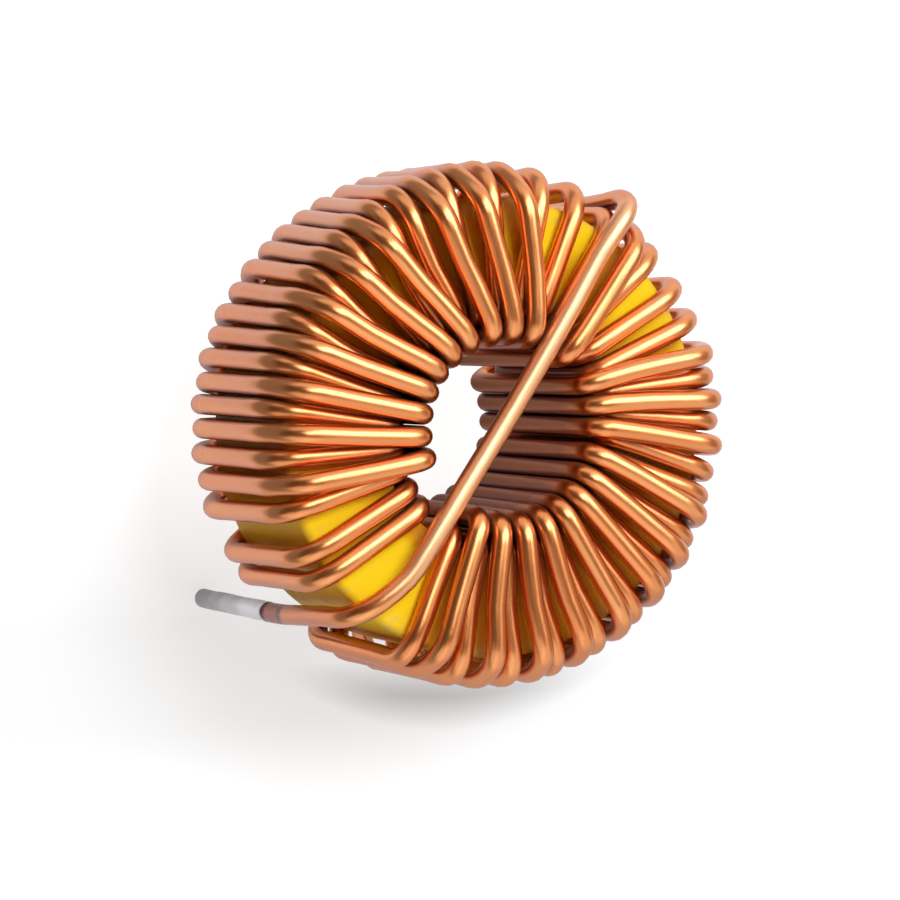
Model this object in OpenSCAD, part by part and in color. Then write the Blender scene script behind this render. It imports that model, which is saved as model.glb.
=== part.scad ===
// Toroidal inductor: a coated ring core wound with one enamelled copper wire.
// The ring's axis is +Z and z = 0 is the board that the coil seats on, so both leads point down.

/* [Core] */
// Outer diameter of the coated ring
core_od = 26.9; // [26.5:0.1:32]
// Bore of the coated ring
core_id = 14.5; // [14.4:0.1:16]
// Height of the coated ring
core_h = 11.1; // [9:0.1:16]
// Radius of the ring's rounded edges
core_edge_r = 0.5; // [0.45:0.05:1.2]

/* [Wire] */
// Diameter of the wire over its enamel
wire_d = 1.22; // [1.0:0.01:1.22]
// Thickness of the enamel
enamel_t = 0.035; // [0.02:0.005:0.06]

/* [Winding] */
// Gap between the turns and the ring's outer wall
outer_gap = 0.34; // [0.32:0.01:0.6]
// Gap between the first turn and the outer wall
first_gap = 0.3; // [0.28:0.01:0.34]
// Gap between the lower turns and the bore
bore_gap = 0.04; // [0.02:0.01:0.08]
// Gap between the lower turns and the end faces
face_gap = 0.14; // [0.14:0.01:0.3]
// Gap between the lower and the upper turns
layer_gap = 0.02; // [0.01:0.01:0.1]
// Bend radius of the wire's centre line at the outer edges
outer_bend_r = 1.5; // [1.35:0.05:1.5]
// Bend radius of the wire's centre line at the bore's edges
bore_bend_r = 1.1; // [1:0.05:1.15]
// Extra stand-off of the turns a quarter turn round from the leads' side
side_bow = 0.25; // [0:0.05:0.4]
// Extra stand-off in the middle of the most crowded stretch
crowd_bow = 0.3; // [0:0.05:0.4]

/* [Leads] */
// Height above the board at which the finish lead's enamel ends
finish_strip_z = 0.75; // [0.2:0.05:1.5]
// Height above the board at which the start lead's enamel ends
start_strip_z = -0.6; // [-1.5:0.1:-0.3]
// Length of a lead below the board
lead_len = 10.8; // [3:0.1:20]
// Diameter of a tinned lead
tinned_d = 1.28; // [1.26:0.01:1.4]
// Rounding of a tinned lead's tip
tip_r = 0.35; // [0.1:0.05:0.5]
// Solder beyond the end of the copper
tip_cover = 0.6; // [0.4:0.1:1]
// Clearance between the copper and its solder
solder_gap = 0.01; // [0.01:0.01:0.02]

/* [Hidden] */
round_fn = 96;

// Ring and wire radii, and the bare copper under the enamel
core_r = core_od / 2;
bore_r = core_id / 2;
wire_r = wire_d / 2;
bare_r = wire_r - enamel_t;
wire_sides = 8;

// Centre line levels, measured from the ring's middle plane
face_z = core_h / 2 + face_gap + wire_r;
layer_pitch = wire_d + layer_gap;
top_z = face_z + layer_pitch;
wall_z = face_z - outer_bend_r;

// The board touches the upper turns on the back, and everything is lifted by this
seat_z = top_z + wire_r;

// Centre line radii of the wall runs, the first turn and the bore runs
wall_r = core_r + outer_gap + wire_r;
first_r = core_r + first_gap + wire_r;
bore_run_r = bore_r - bore_gap - wire_r;

// An upper turn climbs onto the lower layer between these two radii
climb_start_r = core_r + 0.95 * wire_d;
climb_end_r = core_r - 0.5 * wire_d;

// Stations in each quarter bend
bend_steps = 2;

// Each turn's angle at the outer wall, its angle in the bore, and 1 if it lies in the upper layer.
// The angles go on past 360, because the last turns stand beside the first one.
TURNS = [
    [59.5, 60.5, 0], [70, 71.2, 0], [80, 81.9, 0], [88.5, 74.9, 1], [94, 92.6, 0],
    [100, 88.3, 1], [105.2, 103.3, 0], [110.4, 101.8, 1], [115.5, 114, 0], [121.9, 124.7, 0],
    [127.3, 117.5, 1], [132.5, 135.4, 0], [137.8, 130.8, 1], [143, 146.1, 0], [149, 144.1, 1],
    [154.3, 156.8, 0], [159.5, 157.4, 1], [164.6, 167.5, 0], [170, 170.7, 1], [175, 178.2, 0],
    [180.5, 184, 1], [186.5, 188.9, 0], [192.5, 197.3, 1], [199, 199.7, 0], [210, 210.4, 0],
    [216.5, 221.1, 0], [245, 242.5, 0], [251, 249, 1], [259, 257, 0], [266, 263.5, 1],
    [273, 271.5, 0], [279.5, 277.5, 1], [285, 284.5, 0], [291, 291, 1], [297, 296.5, 0],
    [303, 304.3, 1], [309, 308.5, 0], [315, 317.6, 1], [320.5, 321, 0], [326, 331, 1],
    [331.5, 333, 0], [337, 344.5, 1], [342.5, 345, 0], [348.5, 355.7, 0], [355, 360.5, 1],
    [361, 366.4, 0], [366.5, 373.8, 1], [372, 377.3, 0], [378, 387.5, 1], [386.5, 388.3, 0],
    [395, 399, 0], [405.5, 409.8, 0], [413, 409.5, 1]
];

// The wire comes up the wall here after the last turn, outside the first one
last_up = 418;

// The first turn comes up from its lead this much further round than it goes over the edge
first_slant = 3.5;

// How much of its feed an upper turn has already made when it reaches the back of the bore
bore_slip = 0.1;

// Share of the way in at which a turn has swung half over: late when it swings on, early when back
swing_on = 1.5;
swing_back = 1.3;

// The crowded stretch's middle and its spread round the ring
crowd_at = 98;
crowd_width = 26;

function ease(t) = let (c = min(max(t, 0), 1)) c * c * (3 - 2 * c);
function blend(a, b, t) = a + (b - a) * t;
function round_angle(a) = a - 360 * floor(a / 360);
function at(r, a, z) = [r * cos(a), r * sin(a), z];

// Radius at which the turn at this angle runs along the outer wall
function stand_r(a) =
    let (off_crowd = (round_angle(a) - crowd_at) / crowd_width)
    wall_r + side_bow * pow(sin(a), 2) + crowd_bow * exp(-off_crowd * off_crowd);

// How far round a wall run's back end lies from its front end, in degrees
function slant(a) =
    let (b = round_angle(a))
    b < 100 ? -5 * ease((b - 62) / 30)
    : b < 186 ? -5 * ease((186 - b) / 75)
    : b < 236 ? 1.1 * ease((b - 186) / 20) * ease((236 - b) / 12)
    : -3 * ease((b - 236) / 6) * ease((285 - b) / 40);

// Centre line of one turn: up the wall, in over the front, through the bore and out over the back
function turn(k) =
    let (
        out_a = TURNS[k][0],
        in_a = TURNS[k][1],
        up = TURNS[k][2],
        run_r = k == 0 ? first_r : stand_r(out_a),
        in_r = bore_run_r - up * layer_pitch,
        in_z = face_z + up * layer_pitch,
        edge_r = run_r - outer_bend_r,
        lip_r = in_r + bore_bend_r,
        swing = in_a > out_a ? swing_on : swing_back,
        foot_a = out_a + (k == 0 ? first_slant : slant(out_a)),
        next_a = k < len(TURNS) - 1 ? TURNS[k + 1][0] : last_up,
        next_r = stand_r(next_a),
        next_edge_r = next_r - outer_bend_r,
        next_foot_a = next_a + slant(next_a),
        back_a = in_a + up * bore_slip * (next_foot_a - in_a),
        front_at = function(r) blend(out_a, in_a, pow(max(run_r - r, 0) / (run_r - in_r), swing)),
        back_at = function(r) blend(back_a, next_foot_a, min(1, (r - in_r) / (next_edge_r - in_r))),
        rise = function(r) face_z + up * layer_pitch
            * ease((climb_start_r - r) / (climb_start_r - climb_end_r)),
        step = 90 / bend_steps,
        front_r = (edge_r + lip_r) / 2,
        back_r = (next_edge_r + lip_r) / 2
    )
    concat(
        [at(run_r, foot_a, -wall_z), at(run_r, out_a, wall_z)],
        [for (t = [step : step : 90]) let (r = run_r - outer_bend_r * (1 - cos(t)))
            at(r, front_at(r), rise(r) - outer_bend_r * (1 - sin(t)))],
        [at(front_r, front_at(front_r), rise(front_r))],
        [for (t = [0 : step : 90]) let (r = in_r + bore_bend_r * (1 - sin(t)))
            at(r, front_at(r), in_z - bore_bend_r * (1 - cos(t)))],
        [for (t = [0 : step : 90])
            at(in_r + bore_bend_r * (1 - cos(t)), back_a, bore_bend_r * (1 - sin(t)) - in_z)],
        up == 1 ? [at(back_r, back_at(back_r), -rise(back_r))] : [],
        [for (t = [0 : step : 90 - step]) let (r = next_r - outer_bend_r * (1 - sin(t)))
            at(r, back_at(r), outer_bend_r * (1 - cos(t)) - rise(r))]
    );

// The start lead comes straight up to the first turn, and the finish lead goes straight down
start_r = first_r;
start_a = TURNS[0][0] + first_slant;
finish_r = core_r + 0.95 * wire_d;
finish_a = 231.3;

// The wire's last run, as radius, angle and height: up outside the first turn, over it, across the
// hole, down onto the far face, round a bend there, over the edge and down to the finish lead.
over_r = first_r + wire_d;
last_run = [
    [over_r - 0.33 * wire_d, 57.6, -wall_z],
    [over_r, 58.4, face_z - 2.2 * wire_d],
    [over_r, 58.8, face_z - 0.8 * wire_d],
    [over_r - 0.5 * wire_d, 59.2, top_z - 0.5 * wire_d],
    [over_r - 1.2 * wire_d, 59.8, top_z],
    [core_r - 1.2 * wire_d, 60.6, top_z + 0.03 * wire_d],
    [bore_r + wire_d, 61.2, top_z + 0.06 * wire_d],
    [bore_r - 1.2 * wire_d, 63.1, top_z],
    [0.13 * bore_r, 104, top_z - 0.16 * wire_d],
    [bore_r - 2.25 * wire_d, 229.3, top_z - 0.33 * wire_d],
    [bore_r - 0.3 * wire_d, 232.3, face_z + 0.47 * wire_d],
    [bore_r + 0.95 * wire_d, 233.8, face_z + 0.26 * wire_d],
    [bore_r + 2.2 * wire_d, 234.6, face_z + 0.06 * wire_d],
    [core_r - 1.9 * wire_d, 233.6, face_z],
    [core_r - 0.8 * wire_d, 230.8, face_z],
    [core_r, 228.6, face_z - 0.1 * wire_d],
    [core_r + 0.6 * wire_d, 227.4, face_z - 0.75 * wire_d],
    [core_r + 0.85 * wire_d, 227.4, face_z - 2 * wire_d],
    [finish_r, 229.6, -0.15 * core_h],
    [finish_r, finish_a, -0.5 * core_h]
];

route = concat(
    [at(start_r, start_a, start_strip_z - seat_z)],
    [for (k = [0 : len(TURNS) - 1]) each turn(k)],
    [for (p = last_run) at(p[0], p[1], p[2])],
    [at(finish_r, finish_a, finish_strip_z - seat_z)]
);

// Sweep of a polygon along a polyline with mitred corners. "side" is one unit vector across the
// wire: it is carried over each corner without twist.
function unit(v) = v / norm(v);
function mitre(w, before, after) = let (m = unit(before + after)) w - before * (w * m) / (before * m);
function carry(w, before, after) = let (q = mitre(w, before, after)) q - after * (q * after);
function across(side, along, r) =
    [for (i = [0 : wire_sides - 1]) let (a = 360 * i / wire_sides)
        r * (cos(a) * side + sin(a) * cross(along, side))];

module swept_wire(points) {
    last = len(points) - 1;
    runs = [for (i = [0 : last - 1]) unit(points[i + 1] - points[i])];
    sides = [for (i = 0, w = [1, 0, 0]; i < last;
        w = i < last - 1 ? carry(w, runs[i], runs[i + 1]) : w, i = i + 1) w];
    first_bare = across(sides[0], runs[0], bare_r);
    last_bare = across(sides[last - 1], runs[last - 1], bare_r);
    copper_tip_z = tip_cover - lead_len - seat_z;
    first_end = [points[0].x, points[0].y, copper_tip_z];
    last_end = [points[last].x, points[last].y, copper_tip_z];
    rings = concat(
        [[for (w = first_bare) first_end + w]],
        [[for (w = first_bare) points[0] + w]],
        [[for (w = across(sides[0], runs[0], wire_r)) points[0] + w]],
        [for (i = [1 : last - 1])
            [for (w = across(sides[i - 1], runs[i - 1], wire_r))
                points[i] + mitre(w, runs[i - 1], runs[i])]],
        [[for (w = across(sides[last - 1], runs[last - 1], wire_r)) points[last] + w]],
        [[for (w = last_bare) points[last] + w]],
        [[for (w = last_bare) last_end + w]]
    );
    n = wire_sides;
    end = len(rings) - 1;
    skin = [for (i = [0 : end - 1]) for (j = [0 : n - 1]) let (a = i * n + j, b = i * n + (j + 1) % n)
        each [[a, b, a + n], [b, b + n, a + n]]];
    polyhedron(
        points = [for (ring = rings) each ring],
        faces = concat([[for (j = [n - 1 : -1 : 0]) j]], skin, [[for (j = [0 : n - 1]) end * n + j]]),
        convexity = 20
    );
}

// Coated ring with rounded edges
module core() {
    color("gold")
        translate([0, 0, seat_z])
            rotate_extrude($fn = 2 * round_fn)
                translate([(core_r + bore_r) / 2, 0])
                    rounded_rectangle(core_r - bore_r, core_h, core_edge_r);
}

module rounded_rectangle(w, h, r) {
    square([w - 2 * r, h], center = true);
    square([w, h - 2 * r], center = true);
    for (x = [-1, 1])
        for (y = [-1, 1])
            translate([x * (w / 2 - r), y * (h / 2 - r)])
                circle(r, $fn = round_fn / 2);
}

// One wire: start lead, every turn, the last run across the hole and the finish lead
module winding() {
    color("peru")
        translate([0, 0, seat_z])
            swept_wire(route);
}

// Solder on a stripped lead: a sleeve over the copper, closed by a rounded tip
module tinning(r, a, strip_z) {
    color("silver")
        translate([r * cos(a), r * sin(a), 0])
            difference() {
                rotate_extrude($fn = round_fn) {
                    translate([0, tip_r - lead_len])
                        square([tinned_d / 2, strip_z + lead_len - tip_r]);
                    translate([0, -lead_len])
                        square([tinned_d / 2 - tip_r, tip_r]);
                    intersection() {
                        translate([tinned_d / 2 - tip_r, tip_r - lead_len])
                            circle(tip_r, $fn = round_fn / 2);
                        translate([0, -lead_len])
                            square([tinned_d / 2, tip_r]);
                    }
                }
                translate([0, 0, tip_cover - solder_gap - lead_len])
                    cylinder(r = bare_r + solder_gap, h = strip_z + lead_len, $fn = round_fn);
            }
}

module start_lead_solder() { tinning(start_r, start_a, start_strip_z); }

module finish_lead_solder() { tinning(finish_r, finish_a, finish_strip_z); }

core();
winding();
start_lead_solder();
finish_lead_solder();
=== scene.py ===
"""Looks of a toroidal inductor: a coated ring core wound with one enamelled copper wire.

Lengths in the classes are millimetres on the part's own axes: the ring's axis is +Z, z = 0 is the
board that the coil seats on, and the leads point down. Meshes, the stage and what a finish
measures by place are in metres.
"""
import logging
import math
from dataclasses import dataclass, field
from enum import Enum

import bmesh
import bpy
from mathutils import Matrix, Vector, noise
from mathutils.kdtree import KDTree


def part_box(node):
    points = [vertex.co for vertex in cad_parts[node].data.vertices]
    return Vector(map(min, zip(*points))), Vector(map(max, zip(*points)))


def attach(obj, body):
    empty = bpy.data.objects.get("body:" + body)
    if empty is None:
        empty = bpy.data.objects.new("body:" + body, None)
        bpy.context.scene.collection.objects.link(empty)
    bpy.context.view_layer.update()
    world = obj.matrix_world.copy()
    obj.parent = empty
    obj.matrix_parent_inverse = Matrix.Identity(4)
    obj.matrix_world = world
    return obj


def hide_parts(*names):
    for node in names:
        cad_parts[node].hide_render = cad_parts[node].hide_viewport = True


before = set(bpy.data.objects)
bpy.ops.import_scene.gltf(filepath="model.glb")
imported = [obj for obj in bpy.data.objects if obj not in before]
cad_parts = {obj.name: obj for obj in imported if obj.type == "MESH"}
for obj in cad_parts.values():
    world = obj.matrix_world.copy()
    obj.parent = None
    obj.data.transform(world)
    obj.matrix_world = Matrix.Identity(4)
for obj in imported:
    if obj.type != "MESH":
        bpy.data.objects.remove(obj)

Pair = tuple[float, float]
Triple = tuple[float, float, float]
Colour = tuple[float, float, float, float]
Socket = bpy.types.NodeSocket

log = logging.getLogger("inductor")
MM = 0.001
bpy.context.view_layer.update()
WHITE: Colour = (1.0, 1.0, 1.0, 1.0)


class Ray(Enum):
    """Outputs of the Light Path node that the pale backdrop answers to."""

    CAMERA = "Is Camera Ray"
    GLOSSY = "Is Glossy Ray"
    TRANSMISSION = "Is Transmission Ray"


class Lights(Enum):
    """What a lamp serves: the highlights on glossy metal, or the matte surfaces and the shadow."""

    GLOSS = "gloss"
    MATTE = "matte"


class WireMark(Enum):
    """Numbers that the wire's points carry for its finish."""

    ALONG = "along"
    AROUND = "around"
    TURN = "turn"
    FROM_STRIP = "from_strip"
    # where the wire gets painted shade from a close neighbouring run
    CREVICE = "crevice"
    # where the last run gets its painted highlight
    TAUT = "taut"
    # where the wire gets painted shade inside the bore
    SUNK = "painted_bore_shade"


class RingMark(Enum):
    """Numbers that the ring's points carry for its coating."""

    RIM = "rim"
    # where the coating gets painted shade on the outer wall
    WALL = "wall"
    # where the coating gets painted shade in a narrow gap between turns
    CREVICE = "crevice"


def ease(t: float) -> float:
    """Smooth step from 0 to 1, held outside that range."""
    c = min(max(t, 0.0), 1.0)
    return c * c * (3 - 2 * c)


def blend(a: float, b: float, t: float) -> float:
    """Straight mix of two numbers."""
    return a + (b - a) * t


def at(r: float, angle: float, z: float) -> Vector:
    """Point from a radius, an angle in degrees and a height."""
    a = math.radians(angle)
    return Vector((r * math.cos(a), r * math.sin(a), z))


@dataclass(frozen=True)
class Cloud:
    """A cloudy pattern: repeats over one unit, octaves, roughness, and the values where it comes in."""

    scale: float
    detail: float = 2.0
    rough: float = 0.5
    shows: Pair = (0.0, 1.0)


@dataclass(frozen=True)
class Fade:
    """A change by place: nothing at its start and the full amount at its end."""

    start: float
    end: float
    amount: float = 1.0
    smooth: bool = False


class Nodes:
    """The node tree of a material or a world, built with short calls."""

    def __init__(self, owner: bpy.types.ID, output: str, surface: str) -> None:
        """Start an empty tree with one surface.

        Args:
            owner: the material or the world.
            output: type name of its output node.
            surface: type name of its surface node.
        """
        owner.use_nodes = True
        self.tree = owner.node_tree
        self.tree.nodes.clear()
        self.surface = self.add(surface)
        self.add(output, {"Surface": self.surface.outputs[0]})

    def add(self, kind: str, feeds: dict[str | int, object] | None = None,
            **settings: object) -> bpy.types.Node:
        """Add a node.

        Args:
            kind: the node's type name.
            feeds: values or other nodes' outputs for its inputs, by name or index.
            settings: properties set on the node.

        Returns:
            The new node.
        """
        node = self.tree.nodes.new(kind)
        for key, value in settings.items():
            setattr(node, key, value)
        for key, value in (feeds or {}).items():
            if isinstance(value, Socket):
                self.link(value, node.inputs[key])
            else:
                node.inputs[key].default_value = value
        return node

    def link(self, source: Socket, target: Socket) -> None:
        """Join an output to an input."""
        self.tree.links.new(source, target)

    def math(self, operation: str, a: object, b: object, clamp: bool = False) -> Socket:
        """One step of arithmetic on two values or sockets, clamped from 0 to 1 on request."""
        return self.add("ShaderNodeMath", {0: a, 1: b}, operation=operation, use_clamp=clamp).outputs[0]

    def plus(self, a: object, b: object, clamp: bool = False) -> Socket:
        """Sum of two values or sockets."""
        return self.math("ADD", a, b, clamp)

    def minus(self, a: object, b: object) -> Socket:
        """First value or socket less the second."""
        return self.math("SUBTRACT", a, b)

    def times(self, a: object, b: object, clamp: bool = False) -> Socket:
        """Product of two values or sockets."""
        return self.math("MULTIPLY", a, b, clamp)

    def most(self, a: object, b: object, clamp: bool = False) -> Socket:
        """Larger of two values or sockets."""
        return self.math("MAXIMUM", a, b, clamp)

    def vector(self, x: object, y: object, z: object) -> Socket:
        """A vector from three values or sockets."""
        return self.add("ShaderNodeCombineXYZ", {"X": x, "Y": y, "Z": z}).outputs[0]

    def coordinate(self, where: Socket, axis: str) -> Socket:
        """One coordinate of a place."""
        return self.add("ShaderNodeSeparateXYZ", {0: where}).outputs[axis]

    def measure(self, operation: str, where: Socket, other: Triple = (0.0, 0.0, 0.0)) -> Socket:
        """A number measured on a vector, against another where the operation takes one."""
        return self.add("ShaderNodeVectorMath", {0: where, 1: other}, operation=operation).outputs["Value"]

    def noise(self, where: Socket, cloud: Cloud) -> Socket:
        """Cloudy noise, from 0 to 1."""
        feeds = {"Vector": where, "Scale": cloud.scale, "Detail": cloud.detail, "Roughness": cloud.rough}
        return self.add("ShaderNodeTexNoise", feeds).outputs["Fac"]

    def span(self, value: Socket, low: float, high: float, to_low: float = 0.0,
             to_high: float = 1.0, smooth: bool = False) -> Socket:
        """Map one range to another, held at its ends.

        Args:
            value: what is mapped.
            low: start of its range.
            high: end of its range.
            to_low: result at the start.
            to_high: result at the end.
            smooth: ease in and out.

        Returns:
            The mapped value.
        """
        feeds = {"Value": value, "From Min": low, "From Max": high, "To Min": to_low, "To Max": to_high}
        style = "SMOOTHSTEP" if smooth else "LINEAR"
        return self.add("ShaderNodeMapRange", feeds, interpolation_type=style).outputs["Result"]

    def fade(self, value: Socket, fade: Fade) -> Socket:
        """How much of a fade there is at a value, from 0 to its full amount."""
        (low, to_low), (high, to_high) = sorted([(fade.start, 0.0), (fade.end, fade.amount)])
        return self.span(value, low, high, to_low, to_high, fade.smooth)

    def mix(self, amount: object, a: object, b: object) -> Socket:
        """Mix two colours or sockets: 0 gives the first, 1 the second."""
        return self.add("ShaderNodeMix", {0: amount, 6: a, 7: b}, data_type="RGBA").outputs[2]


class Shader(Nodes):
    """A material's nodes, round one Principled surface."""

    def __init__(self, name: str) -> None:
        """Start the material under its name."""
        self.material = bpy.data.materials.new(name)
        super().__init__(self.material, "ShaderNodeOutputMaterial", "ShaderNodeBsdfPrincipled")

    def dress(self, feeds: dict[str, Socket]) -> None:
        """Link the surface's inputs, by name."""
        for name, source in feeds.items():
            self.link(source, self.surface.inputs[name])

    def mark(self, mark: Enum) -> Socket:
        """A number that the mesh's points carry."""
        return self.add("ShaderNodeAttribute", attribute_name=mark.value).outputs["Fac"]

    def place(self) -> Socket:
        """The point's place in the part's own frame, in metres."""
        return self.add("ShaderNodeTexCoord").outputs["Object"]

    def bump(self, height: Socket, distance: float, strength: float, below: Socket | None = None) -> Socket:
        """Normal from a height.

        Args:
            height: the height, from 0 to 1.
            distance: what a height of 1 stands for, in metres.
            strength: how much of it shows.
            below: a normal that this one rides on.

        Returns:
            The bumped normal.
        """
        feeds = {"Strength": strength, "Distance": distance, "Height": height}
        if below is not None:
            feeds["Normal"] = below
        return self.add("ShaderNodeBump", feeds).outputs["Normal"]


@dataclass(frozen=True)
class SkinGrain:
    """A pattern on the wire's skin: how it is stretched along and around the wire, and its cloud."""

    along: float
    around: float
    cloud: Cloud

    def on(self, s: Shader, seed: object) -> Socket:
        """The pattern's value, with a seed that sets one copy of it apart from another."""
        along, around = s.mark(WireMark.ALONG), s.mark(WireMark.AROUND)
        return s.noise(s.vector(s.times(along, self.along), s.times(around, self.around), seed), self.cloud)


@dataclass(frozen=True)
class EnamelledCopper:
    """Drawn copper under glossy amber enamel, scorched beside a stripped end.

    It carries painted shade between runs and in the bore, and a painted highlight on the last run.
    """

    # Colours
    copper: Colour = (0.95, 0.392, 0.118, 1.0)
    deep: Colour = (0.90, 0.305, 0.080, 1.0)
    char: Colour = (0.060, 0.012, 0.003, 1.0)
    cooked: Colour = (0.46, 0.100, 0.025, 1.0)
    # painted shade where a neighbouring run nearly touches the wire
    painted_crevice_shade: Colour = (0.120, 0.014, 0.002, 1.0)
    # painted highlight: the last run over the face is lighter
    painted_last_run_highlight: Colour = (1.0, 0.62, 0.36, 1.0)
    # painted shade on the runs inside the bore
    painted_bore_shade: Colour = (0.52, 0.150, 0.045, 1.0)
    edge_tint: Colour = (0.55, 0.34, 0.25, 1.0)
    painted_last_run_highlight_share: float = 0.6
    painted_bore_shade_share: float = 0.7
    # Gloss, and what roughens it
    gloss: float = 0.29
    gloss_spread: Pair = (-0.015, 0.02)
    scorch_rough: float = 0.3
    rubbed_rough: float = 0.13
    crevice_metal: float = 0.5
    coat: float = 1.0
    coat_gloss: float = 0.24
    coat_ior: float = 1.62
    # Relief
    draw_height: float = 0.16
    char_height: float = 0.9
    relief: float = 0.00003
    relief_strength: float = 0.8
    # Scorch, in millimetres from the solder
    cooked_length: float = 3.4
    ragged_by: float = 3.4
    cooked_edge: float = 0.15
    rim_in: Pair = (-0.75, -0.3)
    rim_out: Pair = (0.05, 0.3)
    lip: Pair = (0.2, 0.75)
    # Patterns
    tone: SkinGrain = SkinGrain(0.06, 1.0, Cloud(1.0, 3.0, shows=(0.35, 0.65)))
    draw: SkinGrain = SkinGrain(0.25, 6.0, Cloud(3.0, 3.0, 0.6, (0.3, 0.7)))
    ragged: SkinGrain = SkinGrain(1.0, 3.5, Cloud(2.2, 5.0, 0.7))
    blotches: SkinGrain = SkinGrain(1.0, 2.5, Cloud(0.9, 5.0, 0.7, (0.53, 0.60)))
    blotch_seed: float = 3.0

    def scorch(self, s: Shader) -> tuple[Socket, Socket]:
        """Where the enamel is cooked, and where it is burnt to char.

        Args:
            s: the wire's shader.

        Returns:
            How cooked and how burnt a point is.
        """
        ragged = s.times(s.minus(self.ragged.on(s, 0.0), 0.5), self.ragged_by)
        reach = s.plus(s.mark(WireMark.FROM_STRIP), ragged)
        end = self.cooked_length
        cooked = s.span(reach, end - self.cooked_edge, end + self.cooked_edge, 1.0, 0.0)
        rim = s.times(s.span(reach, *(end + edge for edge in self.rim_in)),
                      s.span(reach, *(end + edge for edge in self.rim_out), 1.0, 0.0))
        lip = s.span(reach, *self.lip, 1.0, 0.0)
        blotch = s.span(self.blotches.on(s, self.blotch_seed), *self.blotches.cloud.shows)
        return cooked, s.most(s.most(rim, lip), s.times(cooked, blotch), clamp=True)

    def material(self) -> bpy.types.Material:
        """Build the material.

        Returns:
            The finished material.
        """
        s = Shader("enamelled_copper")
        turn = s.mark(WireMark.TURN)
        crevice, taut = s.mark(WireMark.CREVICE), s.mark(WireMark.TAUT)
        cooked, burnt = self.scorch(s)
        colour = s.mix(s.span(self.tone.on(s, turn), *self.tone.cloud.shows), self.copper, self.deep)
        # painted highlight on the last run, by the taut mark
        for share, over in ((s.times(taut, self.painted_last_run_highlight_share), self.painted_last_run_highlight),
                            # painted shade inside the bore, by the SUNK mark
                            (s.times(s.mark(WireMark.SUNK), self.painted_bore_shade_share), self.painted_bore_shade),
                            # painted shade between runs, by the crevice mark
                            (crevice, self.painted_crevice_shade), (cooked, self.cooked), (burnt, self.char)):
            colour = s.mix(share, colour, over)
        draw = self.draw.on(s, turn)
        gloss = s.span(draw, *self.draw.cloud.shows, *(self.gloss + spread for spread in self.gloss_spread))
        worn = s.plus(s.times(s.most(cooked, burnt), self.scorch_rough), s.times(taut, self.rubbed_rough))
        height = s.plus(s.times(draw, self.draw_height), s.times(burnt, self.char_height))
        s.dress({"Base Color": colour, "Roughness": s.plus(gloss, worn),
                 # less metal in the crevices darkens them too, as part of the painted shade
                 "Metallic": s.span(crevice, 0.0, 1.0, 1.0, self.crevice_metal),
                 "Normal": s.bump(height, self.relief, self.relief_strength)})
        s.surface.inputs["Specular Tint"].default_value = self.edge_tint
        s.surface.inputs["Coat Weight"].default_value = self.coat
        s.surface.inputs["Coat Roughness"].default_value = self.coat_gloss
        s.surface.inputs["Coat IOR"].default_value = self.coat_ior
        return s.material


@dataclass(frozen=True)
class RingCoating:
    """Smooth yellow coating with faint orange peel and a scuffed rim.

    It carries painted shade on the outer wall and in the narrow gaps between the turns.
    """

    yellow: Colour = (0.96, 0.735, 0.016, 1.0)
    warm: Colour = (0.94, 0.655, 0.013, 1.0)
    scuff: Colour = (0.62, 0.47, 0.20, 1.0)
    # painted shade on the outer wall, mottled
    painted_wall_shade: Colour = (0.86, 0.57, 0.030, 1.0)
    # painted shade in the narrow gaps between turns
    painted_gap_shade: Colour = (0.74, 0.310, 0.010, 1.0)
    least_wall_shade: float = 0.8
    scuff_share: float = 0.55
    gloss: float = 0.36
    scuffed_gloss: float = 0.6
    ior: float = 1.5
    shine: float = 0.05
    peel_depth: float = 0.00001
    peel_strength: float = 0.5
    tone: Cloud = Cloud(160.0, 3.0, shows=(0.35, 0.7))
    peel: Cloud = Cloud(2600.0)
    rub: Cloud = Cloud(700.0, 5.0, 0.7, (0.48, 0.62))
    wall_shade_mottle: Cloud = Cloud(420.0, 4.0, 0.65, (0.35, 0.6))

    def material(self) -> bpy.types.Material:
        """Build the material.

        Returns:
            The finished material.
        """
        s = Shader("ring_coating")
        where = s.place()
        worn = s.times(s.mark(RingMark.RIM), s.span(s.noise(where, self.rub), *self.rub.shows), clamp=True)
        wall_shade_mottle = s.span(s.noise(where, self.wall_shade_mottle), *self.wall_shade_mottle.shows, self.least_wall_shade, 1.0)
        colour = s.mix(s.span(s.noise(where, self.tone), *self.tone.shows), self.yellow, self.warm)
        # painted shade on the outer wall, by the wall mark
        for share, over in ((s.times(s.mark(RingMark.WALL), wall_shade_mottle), self.painted_wall_shade),
                            # painted shade in the narrow gaps, by the crevice mark
                            (s.mark(RingMark.CREVICE), self.painted_gap_shade),
                            (s.times(worn, self.scuff_share), self.scuff)):
            colour = s.mix(share, colour, over)
        s.dress({"Base Color": colour, "Roughness": s.span(worn, 0.0, 1.0, self.gloss, self.scuffed_gloss),
                 "Normal": s.bump(s.noise(where, self.peel), self.peel_depth, self.peel_strength)})
        s.surface.inputs["IOR"].default_value = self.ior
        s.surface.inputs["Specular IOR Level"].default_value = self.shine
        return s.material


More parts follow.
